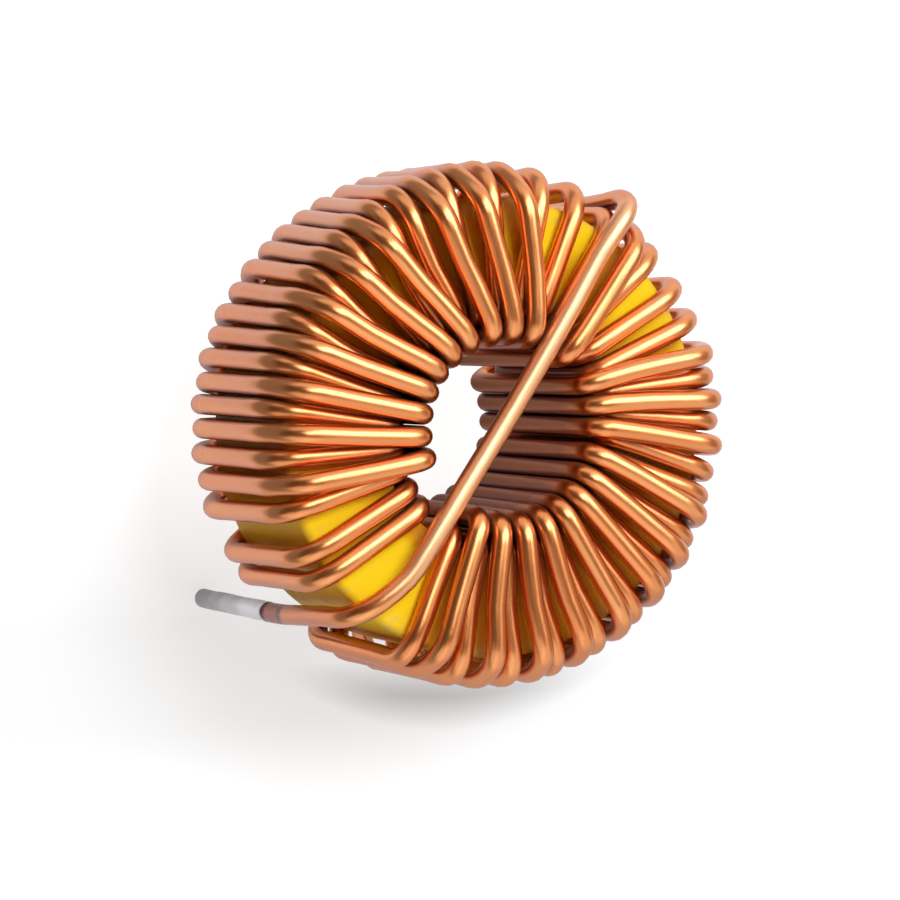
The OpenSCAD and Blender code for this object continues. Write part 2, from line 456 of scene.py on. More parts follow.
@dataclass(frozen=True)
class DipSolder:
    """Dull dip solder, greyer towards the tip and bright beside the enamel."""

    bright: Colour = (0.86, 0.94, 0.94, 1.0)
    grey: Colour = (0.43, 0.475, 0.46, 1.0)
    fade_start: float = -1.0
    fade_end: float = -9.0
    mottle: float = 0.22
    metal: float = 0.85
    gloss: float = 0.42
    gloss_spread: Pair = (-0.06, 0.1)
    patches: Cloud = Cloud(420.0, 3.0, 0.55, (0.3, 0.7))
    patch_depth: float = 0.00004
    patch_strength: float = 0.4
    grain: Cloud = Cloud(5200.0, 3.0, 0.6)
    grain_depth: float = 0.00001
    grain_strength: float = 0.5

    def material(self) -> bpy.types.Material:
        """Build the material.

        Returns:
            The finished material.
        """
        s = Shader("dip_solder")
        where = s.place()
        fade = s.span(s.coordinate(where, "Z"), self.fade_start * MM, self.fade_end * MM, smooth=True)
        patches = s.noise(where, self.patches)
        mottled = s.plus(fade, s.span(patches, *self.patches.shows, -self.mottle, self.mottle), clamp=True)
        gloss = s.span(patches, *self.patches.shows, *(self.gloss + spread for spread in self.gloss_spread))
        low = s.bump(patches, self.patch_depth, self.patch_strength)
        grain = s.bump(s.noise(where, self.grain), self.grain_depth, self.grain_strength, low)
        s.dress({"Base Color": s.mix(mottled, self.bright, self.grey), "Roughness": gloss, "Normal": grain})
        s.surface.inputs["Metallic"].default_value = self.metal
        return s.material


@dataclass(frozen=True)
class PaleFloor:
    """White sweep that shows as the pale backdrop and keeps the shadow.

    It glows a little. What the copper mirrors of it has a painted pink tint, and painted shade beside,
    under and in front of the coil. What the camera sees of it has painted light behind and in front,
    and a painted shadow along the lower rim.
    """

    shade: float = 0.36
    tint: Triple = (0.93, 1.0, 1.045)
    tone: Cloud = Cloud(6.0, shows=(0.3, 0.7))
    tone_depth: float = 0.01
    gloss: float = 0.8
    shine: float = 0.2
    lift: float = 0.635
    mirrored_lift: float = 0.60
    # painted pink tint on the floor's glow, seen only in mirrored rays
    blush: Colour = (1.0, 0.87, 0.92, 1.0)
    # What mirrored rays see: painted shade, by place
    beside_way: Triple = (-0.94, 0.34, 0.0)
    beside: Fade = Fade(0.023, 0.034, 0.75)
    under: Fade = Fade(0.021, 0.011, 0.75)
    ahead: Fade = Fade(-0.012, -0.020, 0.30)
    # What the camera sees: painted light by place, and a painted shadow along the lower rim
    back_glow: Fade = Fade(-0.013, -0.002, 0.22)
    front_glow: Fade = Fade(-0.0190, -0.0250, 0.115, smooth=True)
    rim_centre: Triple = (0.009, 0.0, -0.0108)
    rim_reach: Fade = Fade(0.0210, 0.0188)
    rim_shade: Fade = Fade(-0.0160, -0.0185, 0.32)

    def dimming(self, s: Shader, where: Socket, level: Socket) -> Socket:
        """How much painted shade the floor takes for mirrored rays, by place.

        Args:
            s: the floor's shader.
            where: the place on the floor.
            level: that place's Y, which grows towards the back.

        Returns:
            The share that is taken away.
        """
        beside = s.fade(s.measure("DOT_PRODUCT", where, self.beside_way), self.beside)
        under = s.fade(s.measure("LENGTH", where), self.under)
        return s.most(s.most(beside, under), s.fade(level, self.ahead))

    def glow(self, s: Shader, where: Socket, level: Socket) -> Socket:
        """Painted light and painted shadow on the floor for the camera, by place.

        Args:
            s: the floor's shader.
            where: the place on the floor.
            level: that place's Y, which grows towards the back.

        Returns:
            The painted light to add, less the painted shadow.
        """
        rim = s.fade(s.measure("DISTANCE", where, self.rim_centre), self.rim_reach)
        shaded = s.times(rim, s.fade(level, self.rim_shade))
        return s.minus(s.plus(s.fade(level, self.back_glow), s.fade(level, self.front_glow)), shaded)

    def material(self) -> bpy.types.Material:
        """Build the material.

        Returns:
            The finished material.
        """
        s = Shader("pale_floor")
        where = s.place()
        level = s.coordinate(where, "Y")
        rays = s.add("ShaderNodeLightPath").outputs
        camera, mirrored = rays[Ray.CAMERA.value], rays[Ray.GLOSSY.value]
        # painted shade on what mirrored rays see of the floor
        keep = s.minus(1.0, s.times(self.dimming(s, where, level), mirrored))
        white = s.times(keep, self.shade)
        tone = s.noise(where, self.tone)
        grey = s.add("ShaderNodeCombineColor")
        for socket, share in zip(("Red", "Green", "Blue"), self.tint):
            shift = s.span(tone, *self.tone.shows, share, share - self.tone_depth)
            s.link(s.times(white, shift), grey.inputs[socket])
        s.surface.inputs["Roughness"].default_value = self.gloss
        s.surface.inputs["Specular IOR Level"].default_value = self.shine
        seen = s.plus(s.plus(camera, mirrored), rays[Ray.TRANSMISSION.value], clamp=True)
        lift = s.plus(s.times(seen, self.lift), s.times(mirrored, self.mirrored_lift - self.lift))
        # painted light and painted shadow, seen only by the camera
        glow = s.times(camera, self.glow(s, where, level))
        # the Emission Color mix paints the pink tint into mirrored rays
        s.dress({"Base Color": grey.outputs[0], "Emission Color": s.mix(mirrored, WHITE, self.blush),
                 "Emission Strength": s.plus(s.times(lift, keep), glow)})
        return s.material


@dataclass(frozen=True)
class Turn:
    """One turn: its angles at the outer wall and in the bore, and whether it is an upper one."""

    out_at: float
    in_at: float
    up: int


def turn_list(*rows: tuple[float, float, int]) -> tuple[Turn, ...]:
    """Turns from rows of outer angle, bore angle and layer."""
    return tuple(Turn(*row) for row in rows)


@dataclass(frozen=True)
class Hump:
    """A smooth rise and fall over a stretch of the ring, in degrees."""

    height: float
    start: float
    rise: float
    end: float
    fall: float

    def at(self, angle: float) -> float:
        """Its height at an angle."""
        return self.height * ease((angle - self.start) / self.rise) * ease((self.end - angle) / self.fall)


@dataclass
class CentreLine:
    """Stations along the wire, with z from the ring's middle, and the turn that each belongs to."""

    points: list[Vector] = field(default_factory=list)
    owner: list[int] = field(default_factory=list)

    def add(self, points: list[Vector], turn: int) -> None:
        """Put a turn's stations at the end."""
        self.points += points
        self.owner += [turn] * len(points)


@dataclass
class CoilRoute:
    """The wire's centre line, by the part source's rules, with wider outer bends and a few bows."""

    # Ring and wire
    core_od: float = 26.9
    core_id: float = 14.5
    core_h: float = 11.1
    wire_d: float = 1.22
    # Clearances
    outer_gap: float = 0.34
    first_gap: float = 0.3
    bore_gap: float = 0.04
    face_gap: float = 0.14
    layer_gap: float = 0.02
    # Bends
    outer_bend_r: float = 2.15
    bore_bend_r: float = 1.1
    bend_steps: int = 9
    face_steps: int = 12
    # How the turns lie
    side_bow: float = 0.25
    crowd_bow: float = 0.3
    crowd_at: float = 98.0
    crowd_width: float = 26.0
    first_slant: float = 3.5
    slants: tuple[Hump, ...] = (Hump(-5, 62, 30, 186, 75), Hump(1.1, 186, 20, 236, 12),
                                Hump(-3, 236, 6, 285, 40))
    sags: tuple[Hump, ...] = (Hump(1.5, 92, 22, 166, 14), Hump(-1.5, 252, 14, 306, 14))
    bore_slip: float = 0.1
    swing_on: float = 1.5
    swing_back: float = 1.3
    climb_from: float = 0.95
    climb_over: float = 1.45
    # Ends
    start_strip_z: float = -0.6
    finish_strip_z: float = 0.75
    last_up: float = 418.0
    last_steps: int = 8
    finish_at: float = 231.3
    finish_out: float = 0.95
    # Easing, standing off the outer edge and thinning
    pace: float = 0.2
    window: int = 8
    bore_spread: float = 0.3
    rim_spread: float = 0.75
    rim_zone: float = 3.5
    rim_blend: float = 2.5
    stand_off: float = 0.17
    edge_zone: float = 3.2
    start_free: float = 5.0
    finish_free: float = 8.0
    free_blend: float = 3.0
    bend_limit: float = 7.0
    stride: float = 1.6
    turns: tuple[Turn, ...] = turn_list(
        (59.5, 60.5, 0), (70, 71.2, 0), (80, 81.9, 0), (88.5, 74.9, 1), (94, 92.6, 0),
        (100, 88.3, 1), (105.2, 103.3, 0), (110.4, 101.8, 1), (115.5, 114, 0), (121.9, 124.7, 0),
        (127.3, 117.5, 1), (132.5, 135.4, 0), (137.8, 130.8, 1), (143, 146.1, 0), (149, 144.1, 1),
        (154.3, 156.8, 0), (159.5, 157.4, 1), (164.6, 167.5, 0), (170, 170.7, 1), (175, 178.2, 0),
        (180.5, 184, 1), (186.5, 188.9, 0), (192.5, 197.3, 1), (199, 199.7, 0), (210, 210.4, 0),
        (216.5, 221.1, 0), (245, 242.5, 0), (251, 249, 1), (259, 257, 0), (266, 263.5, 1),
        (273, 271.5, 0), (279.5, 277.5, 1), (285, 284.5, 0), (291, 291, 1), (297, 296.5, 0),
        (303, 304.3, 1), (309, 308.5, 0), (315, 317.6, 1), (320.5, 321, 0), (326, 331, 1),
        (331.5, 333, 0), (337, 344.5, 1), (342.5, 345, 0), (348.5, 355.7, 0), (355, 360.5, 1),
        (361, 366.4, 0), (366.5, 373.8, 1), (372, 377.3, 0), (378, 387.5, 1), (386.5, 388.3, 0),
        (395, 399, 0), (405.5, 409.8, 0), (413, 409.5, 1))

    def __post_init__(self) -> None:
        """Work out the levels and radii that the rules share."""
        self.wire_r = self.wire_d / 2
        self.core_r = self.core_od / 2
        self.bore_r = self.core_id / 2
        self.pitch = self.wire_d + self.layer_gap
        self.face_z = self.core_h / 2 + self.face_gap + self.wire_r
        self.top_z = self.face_z + self.pitch
        self.seat_z = self.top_z + self.wire_r
        self.wall_z = self.face_z - self.outer_bend_r
        self.wall_r = self.core_r + self.outer_gap + self.wire_r
        self.first_r = self.core_r + self.first_gap + self.wire_r
        self.bore_run_r = self.bore_r - self.bore_gap - self.wire_r
        self.over_r = self.first_r + self.wire_d
        self.climb_r = self.core_r + self.climb_from * self.wire_d
        self.finish_r = self.core_r + self.finish_out * self.wire_d
        self.start_at = self.turns[0].out_at + self.first_slant

    def stand_r(self, angle: float) -> float:
        """Radius of the wall run at an angle.

        Args:
            angle: the angle, in degrees.

        Returns:
            The radius, bowed out at the sides and where the turns crowd.
        """
        off = ((angle % 360) - self.crowd_at) / self.crowd_width
        bow = self.side_bow * math.sin(math.radians(angle)) ** 2
        return self.wall_r + bow + self.crowd_bow * math.exp(-off * off)

    def sag(self, angle: float) -> float:
        """How far the middle of a front run lies to one side, in degrees."""
        return sum(hump.at(angle) for hump in self.sags)

    def slant(self, angle: float) -> float:
        """How far round a wall run's back end lies from its front end, in degrees."""
        return sum(hump.at(angle % 360) for hump in self.slants)

    def turn_points(self, k: int) -> list[Vector]:
        """Centre line of one turn.

        Args:
            k: the turn's place in the order of winding.

        Returns:
            Points up the wall, in over the front, through the bore and out over the back.
        """
        turn = self.turns[k]
        run_r = self.first_r if k == 0 else self.stand_r(turn.out_at)
        in_r = self.bore_run_r - turn.up * self.pitch
        in_z = self.face_z + turn.up * self.pitch
        swing = self.swing_on if turn.in_at > turn.out_at else self.swing_back
        foot_at = turn.out_at + (self.first_slant if k == 0 else self.slant(turn.out_at))
        next_at = self.turns[k + 1].out_at if k + 1 < len(self.turns) else self.last_up
        next_r = self.stand_r(next_at)
        next_foot_at = next_at + self.slant(next_at)
        back_at = turn.in_at + turn.up * self.bore_slip * (next_foot_at - turn.in_at)
        bend, lip = self.outer_bend_r, self.bore_bend_r
        sag = self.sag(turn.out_at)

        def rise(r: float) -> float:
            """Height of the run over the face at a radius."""
            climbed = ease((self.climb_r - r) / (self.climb_over * self.wire_d))
            return self.face_z + turn.up * self.pitch * climbed

        def front(r: float) -> float:
            """Angle of the front run at a radius."""
            share = max(run_r - r, 0) / (run_r - in_r)
            return blend(turn.out_at, turn.in_at, share ** swing) + sag * math.sin(math.pi * share) ** 2

        def back(r: float) -> float:
            """Angle of the back run at a radius."""
            return blend(back_at, next_foot_at, min(1.0, (r - in_r) / (next_r - bend - in_r)))

        points = [at(run_r, blend(foot_at, turn.out_at, t), blend(-self.wall_z, self.wall_z, t))
                  for t in (0.0, 0.25, 0.5, 0.75, 1.0)]
        quarter = [math.pi / 2 * (i + 1) / self.bend_steps for i in range(self.bend_steps)]
        for t in quarter:
            r = run_r - bend * (1 - math.cos(t))
            points.append(at(r, front(r), rise(r) - bend * (1 - math.sin(t))))
        for i in range(1, self.face_steps):
            r = blend(run_r - bend, in_r + lip, i / self.face_steps)
            points.append(at(r, front(r), rise(r)))
        for t in [0.0] + quarter:
            r = in_r + lip * (1 - math.sin(t))
            points.append(at(r, front(r), in_z - lip * (1 - math.cos(t))))
        for t in (0.25, 0.5, 0.75):
            points.append(at(in_r, blend(turn.in_at, back_at, ease(t)),
                             (in_z - lip) * (1 - 2 * t)))
        for t in [0.0] + quarter:
            points.append(at(in_r + lip * (1 - math.cos(t)), back_at,
                             lip * (1 - math.sin(t)) - in_z))
        for i in range(1, self.face_steps):
            r = blend(in_r + lip, next_r - bend, i / self.face_steps)
            points.append(at(r, back(r), -rise(r)))
        for t in [0.0] + quarter[:-1]:
            r = next_r - bend * (1 - math.sin(t))
            points.append(at(r, back(r), bend * (1 - math.cos(t)) - rise(r)))
        return points

    def last_run(self) -> list[Vector]:
        """Way points of the last run, in shares of the wire's diameter off the ring and its faces.

        Returns:
            Points over the first turn, across the hole, down to the lower rim and down the wall.
        """
        w, core_r, bore_r, face_z, top_z = self.wire_d, self.core_r, self.bore_r, self.face_z, self.top_z
        return [
            at(self.over_r - 0.33 * w, 57.6, -self.wall_z),
            at(self.over_r, 58.4, face_z - 2.2 * w),
            at(self.over_r, 58.8, face_z - 0.8 * w),
            at(self.over_r - 0.5 * w, 59.2, top_z - 0.5 * w),
            at(self.over_r - 1.2 * w, 59.8, top_z),
            at(core_r - 1.2 * w, 61.1, top_z + 0.03 * w),
            at(bore_r + w, 61.9, top_z + 0.06 * w),
            at(bore_r - 1.2 * w, 63.6, top_z),
            at(0.12 * bore_r, 98, top_z - 0.2 * w),
            at(bore_r - 2.25 * w, 227.6, top_z - 0.12 * w),
            at(bore_r + 0.8 * w, 231.3, top_z - 0.08 * w),
            at(core_r - 2.33 * w, 232.4, face_z + 0.75 * w),
            at(core_r - 1.1 * w, 230.9, face_z + 0.49 * w),
            at(core_r - 0.21 * w, 229.4, face_z + 0.16 * w),
            at(core_r + 0.3 * w, 228.3, face_z - 0.2 * w),
            at(core_r + 0.65 * w, 227.7, face_z - 0.74 * w),
            at(core_r + 0.8 * w, 227.6, face_z - 1.4 * w),
            at(core_r + 0.9 * w, 228.2, face_z - 3.36 * w),
            at(self.finish_r, 229.6, -0.15 * self.core_h),
            at(self.finish_r, self.finish_at, -0.5 * self.core_h),
        ]

    @staticmethod
    def curve_through(points: list[Vector], steps: int) -> list[Vector]:
        """Smooth curve through way points, with even pace.

        Args:
            points: the way points.
            steps: stations between two of them.

        Returns:
            The curve's stations, without the last way point.
        """
        made = []
        ends = [points[0] * 2 - points[1]] + points + [points[-1] * 2 - points[-2]]
        for a, b, c, d in zip(ends, ends[1:], ends[2:], ends[3:]):
            t1 = math.sqrt((b - a).length)
            t2 = t1 + math.sqrt((c - b).length)
            t3 = t2 + math.sqrt((d - c).length)
            for i in range(steps):
                t = blend(t1, t2, i / steps)
                p = a.lerp(b, t / t1)
                q = b.lerp(c, (t - t1) / (t2 - t1))
                s = c.lerp(d, (t - t2) / (t3 - t2))
                u = p.lerp(q, t / t2)
                v = q.lerp(s, (t - t1) / (t3 - t1))
                made.append(u.lerp(v, (t - t1) / (t2 - t1)))
        return made

    def stations(self) -> CentreLine:
        """The whole centre line, eased at its corners and thinned where it runs straight.

        Returns:
            The line, from the start lead's strip to the finish lead's.
        """
        start, finish = self.start_strip_z - self.seat_z, self.finish_strip_z - self.seat_z
        line = CentreLine()
        line.add([at(self.first_r, self.start_at, blend(start, -self.wall_z, t)) for t in (0, 0.4, 0.8)], 0)
        for k in range(len(self.turns)):
            line.add(self.turn_points(k), k)
        tail = self.curve_through([line.points[-1]] + self.last_run(), self.last_steps)[self.last_steps:]
        tail += [at(self.finish_r, self.finish_at, blend(-0.5 * self.core_h, finish, t)) for t in (0, 0.5, 1)]
        line.add(tail, len(self.turns))
        return self.thin(self.soften(self.even(line)))

    def even(self, line: CentreLine) -> CentreLine:
        """Put stations at an even pace.

        Args:
            line: the centre line.

        Returns:
            The same line with its new stations.
        """
        made, carry = CentreLine(line.points[:1], line.owner[:1]), 0.0
        for a, b, k in zip(line.points, line.points[1:], line.owner):
            length = (b - a).length
            where = self.pace - carry
            while where < length:
                made.add([a.lerp(b, where / length)], k)
                where += self.pace
            carry = length - (where - self.pace)
        made.add(line.points[-1:], line.owner[-1])
        return made

    def soften(self, line: CentreLine) -> CentreLine:
        """Ease each corner over a few stations, and stand it off the ring's outer edge.

        Args:
            line: the line at an even pace.

        Returns:
            The eased line.
        """
        made, count = [], len(line.points)
        for i, spot in enumerate(line.points):
            reach = min(self.window, i, count - 1 - i)
            spread = self.spread_at(spot) / self.pace
            weights = [math.exp(-0.5 * (j / spread) ** 2) for j in range(-reach, reach + 1)]
            around = line.points[i - reach:i + reach + 1]
            soft = sum((point * w for point, w in zip(around, weights)), Vector())
            made.append(self.off_corner(soft / sum(weights), i * self.pace, (count - i) * self.pace))
        return CentreLine(made, line.owner)

    def spread_at(self, spot: Vector) -> float:
        """How far a corner is eased: tight round the bore's edge, wide round the outer one."""
        rim = ease((math.hypot(spot.x, spot.y) - self.core_r + self.rim_zone) / self.rim_blend)
        return blend(self.bore_spread, self.rim_spread, rim)

    def off_corner(self, spot: Vector, done: float, left: float) -> Vector:
        """Stand a station off the ring's outer edge, as stiff wire does where it bends.

        Args:
            spot: the station.
            done: length of wire before it.
            left: length of wire after it.

        Returns:
            The station's new place.
        """
        r = math.hypot(spot.x, spot.y)
        near = (ease((r - self.core_r + self.edge_zone) / self.edge_zone)
                * ease((abs(spot.z) - self.core_h / 2 + self.edge_zone) / self.edge_zone))
        free = min((done - self.start_free) / self.free_blend, (left - self.finish_free) / self.free_blend)
        push = self.stand_off * near * ease(free)
        return spot + Vector((spot.x / r, spot.y / r, math.copysign(1.0, spot.z))) * push

    def thin(self, line: CentreLine) -> CentreLine:
        """Keep a station where the wire has bent or run on far enough.

        Args:
            line: the line at an even pace.

        Returns:
            The line with the stations that are kept.
        """
        points = line.points
        made = CentreLine(points[:1], line.owner[:1])
        limit = math.cos(math.radians(self.bend_limit))
        heading = (points[1] - points[0]).normalized()
        run = 0.0
        for i in range(1, len(points) - 1):
            run += (points[i] - points[i - 1]).length
            now = (points[i + 1] - points[i]).normalized()
            if now.dot(heading) < limit or run > self.stride:
                made.add([points[i]], line.owner[i])
                heading, run = now, 0.0
        made.add(points[-1:], line.owner[-1])
        return made


def skin_rings(mesh: bmesh.types.BMesh, rings: list[list[bmesh.types.BMVert]], across: bool = False) -> None:
    """Join rings of points into a skin.

    Args:
        mesh: the mesh that the points belong to.
        rings: the rings, one after another, each with as many points.
        across: start each face from one ring to the next, which turns it over.
    """
    for a, b in zip(rings, rings[1:]):
        for j in range(len(a)):
            k = (j + 1) % len(a)
            mesh.faces.new((a[j], b[j], b[k], a[k]) if across else (a[j], a[k], b[k], b[j]))


def finish_mesh(name: str, shape: bmesh.types.BMesh, body: str,
                material: bpy.types.Material) -> bpy.types.Object:
    """Turn a bmesh into a smooth piece that rides on a body.

    Args:
        name: the piece's name.
        shape: its mesh, in metres.
        body: the body that it rides on.
        material: its finish.

    Returns:
        The piece.
    """
    mesh = bpy.data.meshes.new(name)
    shape.to_mesh(mesh)
    shape.free()
    for face in mesh.polygons:
        face.use_smooth = True
    piece = bpy.data.objects.new(name, mesh)
    bpy.context.scene.collection.objects.link(piece)
    piece.data.materials.append(material)
    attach(piece, body)
    return piece


class WireField:
    """Where the wire runs, for finding how closed in a place on or beside it is."""

    FAR = 9.0
    OWN_RUN = 4

    def __init__(self, centres: list[Vector], pace: float = 0.3) -> None:
        """Fill in the centre line and sort it by place.

        Args:
            centres: the wire's stations.
            pace: largest distance between the points kept.
        """
        spots, self.place, run = [], [], 0.0
        for a, b in zip(centres, centres[1:]):
            length = (b - a).length
            steps = max(1, math.ceil(length / pace))
            for i in range(steps):
                spots.append(a.lerp(b, i / steps))
                self.place.append(run + length * i / steps)
            run += length
        self.tree = KDTree(len(spots))
        for i, spot in enumerate(spots):
            self.tree.insert(spot, i)
        self.tree.balance()

    def neighbour(self, point: Vector, here: float, reach: float) -> float:
        """Distance to the nearest run of wire that isn't the point's own.

        Args:
            point: the place.
            here: how far along the wire it lies.
            reach: how far to look.

        Returns:
            The distance, or a large number where there is none.
        """
        return min((gap for _, i, gap in self.tree.find_range(point, reach)
                    if abs(self.place[i] - here) > self.OWN_RUN), default=self.FAR)

    def gap_across(self, point: Vector, along: Vector, across: Vector, reach: float = 2.8,
                   band: float = 0.45) -> float:
        """How wide the gap between two runs is at a point of the surface below them.

        Args:
            point: the place.
            along: the surface's own direction beside the runs.
            across: the direction from one run to the next.
            reach: how far to look.
            band: half the width of the strip that is looked at.

        Returns:
            The distance from one run's centre to the other's, or a large number at an open place.
        """
        left, right = self.FAR, self.FAR
        for spot, _, _ in self.tree.find_range(point, reach):
            off = spot - point
            if abs(off.dot(along)) < band:
                side = off.dot(across)
                if side > 0:
                    right = min(right, side)
                else:
                    left = min(left, -side)
        return left + right


@dataclass
class Winding:
    """The one enamelled wire, swept along its route."""

    route: CoilRoute
    line: CentreLine
    wires: WireField
    finish: EnamelledCopper = field(default_factory=EnamelledCopper)
    sides: int = 16
    crevice_reach: float = 0.55
    taut_over: float = 0.4
    sunk_depth: float = 0.6
    lip_r: float = 6.9
    lip_width: float = 1.7
    seed_step: float = 0.618
    seed_spread: float = 7.0

    def frames(self) -> list[tuple[Vector, Vector]]:
        """Cross directions along the wire.

        Returns:
            Two cross directions at each station, carried on without twist.
        """
        points = self.line.points
        runs = [(b - a).normalized() for a, b in zip(points, points[1:])]
        heads = [runs[0]] + [(a + b).normalized() for a, b in zip(runs, runs[1:])] + [runs[-1]]
        side = Vector((1, 0, 0))
        side = (side - heads[0] * side.dot(heads[0])).normalized()
        made = []
        for head in heads:
            side = (side - head * side.dot(head)).normalized()
            made.append((side, head.cross(side)))
        return made

    def crevice(self, spot: Vector, here: float) -> float:
        """How closely a neighbouring run faces a point of the wire's surface.

        Args:
            spot: the point.
            here: how far along the wire it lies.

        Returns:
            0 where it lies open and 1 where a neighbour nearly touches it.
        """
        gap = self.wires.neighbour(spot, here, self.route.wire_r + self.crevice_reach)
        return 1 - ease((gap - self.route.wire_r) / self.crevice_reach)

    def station_marks(self, i: int, here: float, whole: float) -> dict[WireMark, float]:
        """What a station's points have in common for the finish.

        Args:
            i: the station.
            here: how far along the wire it lies.
            whole: the wire's length.

        Returns:
            The numbers by mark, with the depth below the upper layer as SUNK.
        """
        route, owner, z = self.route, self.line.owner, self.line.points[i].z
        over = z - route.face_z - self.taut_over * route.wire_d
        return {
            WireMark.ALONG: here,
            WireMark.TURN: (owner[i] * self.seed_step) % 1.0 * self.seed_spread,
            WireMark.FROM_STRIP: min(here, whole - here),
            WireMark.TAUT: ease(over / route.wire_r) if owner[i] == owner[-1] else 0.0,
            WireMark.SUNK: ease((route.top_z - route.wire_d - z) / self.sunk_depth),
        }

    def build(self) -> bpy.types.Object:
        """Sweep the wire.

        Returns:
            The wire, standing for the CAD winding.
        """
        points = self.line.points
        lift = Vector((0, 0, self.route.seat_z))
        mesh = bmesh.new()
        layers = {mark: mesh.verts.layers.float.new(mark.value) for mark in WireMark}
        lengths = [0.0]
        for a, b in zip(points, points[1:]):
            lengths.append(lengths[-1] + (b - a).length)
        angles = [2 * math.pi * j / self.sides for j in range(self.sides)]
        rings = []
        for i, (side, other) in enumerate(self.frames()):
            shared = self.station_marks(i, lengths[i], lengths[-1])
            ring = []
            for a in angles:
                spot = points[i] + (side * math.cos(a) + other * math.sin(a)) * self.route.wire_r
                in_bore = ease((self.lip_r - math.hypot(spot.x, spot.y)) / self.lip_width)
                own = {WireMark.AROUND: math.sin(a * 0.5) ** 2 * 2,
                       WireMark.CREVICE: self.crevice(spot, lengths[i]),
                       WireMark.SUNK: shared[WireMark.SUNK] * in_bore}
                vert = mesh.verts.new((spot + lift) * MM)
                for mark, value in {**shared, **own}.items():
                    vert[layers[mark]] = value
                ring.append(vert)
            rings.append(ring)
        skin_rings(mesh, rings)
        mesh.faces.new(rings[0][::-1])
        mesh.faces.new(rings[-1])
        piece = finish_mesh("enamelled_wire", mesh, "root", self.finish.material())
        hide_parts("winding")
        log.info("wire: %d stations, %.0f mm", len(points), lengths[-1])
        return piece


@dataclass(frozen=True)
class RimPoint:
    """One point round the ring's section: its place, its rim mark and its direction."""

    r: float
    z: float
    mark: float
    lean: float
    rise: float


@dataclass
class RingCore:
    """The coated ring, lathed with rounded edges and faint unevenness."""

    wires: WireField
    outer_d: float
    inner_d: float
    height: float
    middle_z: float
    edge_r: float = 0.5
    edge_steps: int = 6
    flat_rows: int = 14
    rim_fade: float = 0.5
    wall_share: float = 0.7
    uneven: float = 0.012
    uneven_scale: float = 0.8
    shut_below: float = 1.45
    opens_over: float = 0.48
    finish: RingCoating = field(default_factory=RingCoating)
    steps: int = 288

    def profile(self) -> list[RimPoint]:
        """The ring's section: a rounded corner and then a flat, four times.

        Returns:
            The points round the section.
        """
        made = []
        outer, inner = self.outer_d / 2, self.inner_d / 2
        width = outer - inner - 2 * self.edge_r
        tall = self.height - 2 * self.edge_r
        corners = ((outer - self.edge_r, -1, -90, (0.0, 1.0), tall),
                   (outer - self.edge_r, 1, 0, (-1.0, 0.0), width),
                   (inner + self.edge_r, 1, 90, (0.0, -1.0), tall),
                   (inner + self.edge_r, -1, 180, (1.0, 0.0), width))
        for cx, side, first, flat, run in corners:
            cz = side * (self.height / 2 - self.edge_r)
            for i in range(self.edge_steps + 1):
                a = math.radians(first + 90 * i / self.edge_steps)
                made.append(RimPoint(cx + self.edge_r * math.cos(a), cz + self.edge_r * math.sin(a), 1.0,
                                     -math.sin(a), math.cos(a)))
            x, z = made[-1].r, made[-1].z
            for i in range(1, self.flat_rows):
                share = i / self.flat_rows
                mark = self.rim_fade if i in (1, self.flat_rows - 1) else 0.0
                made.append(RimPoint(x + flat[0] * run * share, z + flat[1] * run * share, mark, *flat))
        return made

    def build(self) -> bpy.types.Object:
        """Lathe the ring.

        Returns:
            The ring, standing for the CAD core.
        """
        mesh = bmesh.new()
        layers = {mark: mesh.verts.layers.float.new(mark.value) for mark in RingMark}
        lift, up, profile = Vector((0, 0, self.middle_z)), Vector((0, 0, 1)), self.profile()
        rings = []
        for i in range(self.steps):
            a = 2 * math.pi * i / self.steps
            out = Vector((math.cos(a), math.sin(a), 0))
            ring = []
            for point in profile:
                level = Vector((point.r * math.cos(a), point.r * math.sin(a), point.z))
                spot = level + lift
                pull = 1 + self.uneven * (noise.noise(spot * self.uneven_scale) - 1) / point.r
                gap = self.wires.gap_across(level, out * point.lean + up * point.rise, out.cross(up))
                vert = mesh.verts.new(Vector((spot.x * pull, spot.y * pull, spot.z)) * MM)
                vert[layers[RingMark.RIM]] = point.mark
                # wall mark: where the coating gets painted wall shade
                vert[layers[RingMark.WALL]] = ease((point.r - self.outer_d / 2 + self.edge_r)
                                                   / (self.wall_share * self.edge_r))
                # crevice mark: where the coating gets painted gap shade
                vert[layers[RingMark.CREVICE]] = 1 - ease((gap - self.shut_below) / self.opens_over)
                ring.append(vert)
            rings.append(ring)
        skin_rings(mesh, rings + rings[:1], across=True)
        bmesh.ops.recalc_face_normals(mesh, faces=mesh.faces)
        piece = finish_mesh("coated_ring", mesh, "root", self.finish.material())
        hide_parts("core")
        log.info("ring: %d faces", len(piece.data.polygons))
        return piece


